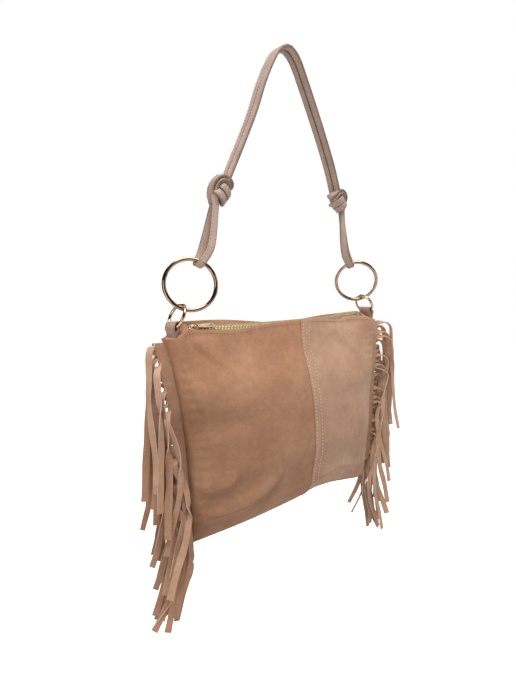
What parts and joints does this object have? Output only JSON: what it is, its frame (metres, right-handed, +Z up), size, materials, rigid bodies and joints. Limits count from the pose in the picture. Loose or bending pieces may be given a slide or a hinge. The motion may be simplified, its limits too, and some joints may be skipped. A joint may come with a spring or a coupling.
{
  "type": "fringed suede shoulder bag",
  "caption": "Slouchy suede shoulder bag with a top zip, long cut fringe down both sides, and a knotted leather handle hung from gold-coloured rings",
  "frame": {"origin": "Underside of the handle strap at its highest point, where the bag hangs", "axes": "+X along the bag's length to the right, +Y to the back, +Z up; the front faces -Y"},
  "size_m": [0.432, 0.0678, 0.6741],
  "materials": {
    "suede": "napped suede",
    "strap_leather": "smooth leather",
    "pale_gold": "polished pale gold plating",
    "zip_cloth": "woven zip tape"
  },
  "bodies": {
    "handle": {"handle_strap": "strap_leather"},
    "bag": {"front_panel_left": "suede", "front_panel_right": "suede", "back_panel": "suede", "fringe_left": "suede", "fringe_right": "suede", "tab_left": "strap_leather", "tab_right": "strap_leather", "zip_tape_front": "zip_cloth", "zip_tape_back": "zip_cloth", "zip_stop_left": "pale_gold", "zip_stop_right": "pale_gold"},
    "big_ring_left_body": {"big_ring_left": "pale_gold"},
    "big_ring_right_body": {"big_ring_right": "pale_gold"},
    "small_ring_left_body": {"small_ring_left": "pale_gold"},
    "small_ring_right_body": {"small_ring_right": "pale_gold"},
    "zip_slider_body": {"zip_slider": "pale_gold"},
    "zip_pull_body": {"zip_pull": "pale_gold"}
  },
  "joints": [
    {"name": "bag_swing", "type": "hinge", "parent": "handle", "child": "bag", "pos_m": [-0.0057, 0, -0.31106], "axis": [1, 0, 0], "range_deg": [-15, 30]},
    {"name": "big_ring_left_spin", "type": "hinge", "parent": "handle", "child": "big_ring_left_body", "pos_m": [-0.1442, 0, -0.2772], "axis": [0.3834, 0.8988, -0.2125], "continuous": true},
    {"name": "small_ring_left_spin", "type": "hinge", "parent": "bag", "child": "small_ring_left_body", "pos_m": [-0.1624, 0, -0.31106], "axis": [0.891, 0, -0.454], "continuous": true},
    {"name": "big_ring_right_spin", "type": "hinge", "parent": "handle", "child": "big_ring_right_body", "pos_m": [0.1328, 0, -0.2772], "axis": [0.65, 0.6691, 0.3603], "continuous": true},
    {"name": "small_ring_right_spin", "type": "hinge", "parent": "bag", "child": "small_ring_right_body", "pos_m": [0.151, 0, -0.31106], "axis": [0.891, 0, 0.454], "continuous": true},
    {"name": "zip_travel", "type": "slide", "parent": "bag", "child": "zip_slider_body", "axis": [1, 0, 0], "range_m": [0, 0.264]},
    {"name": "pull_swing", "type": "hinge", "parent": "zip_slider_body", "child": "zip_pull_body", "pos_m": [-0.1442, -0.00319, -0.32301], "axis": [0, -0.7071, -0.7071], "range_deg": [0, 75]}
  ]
}
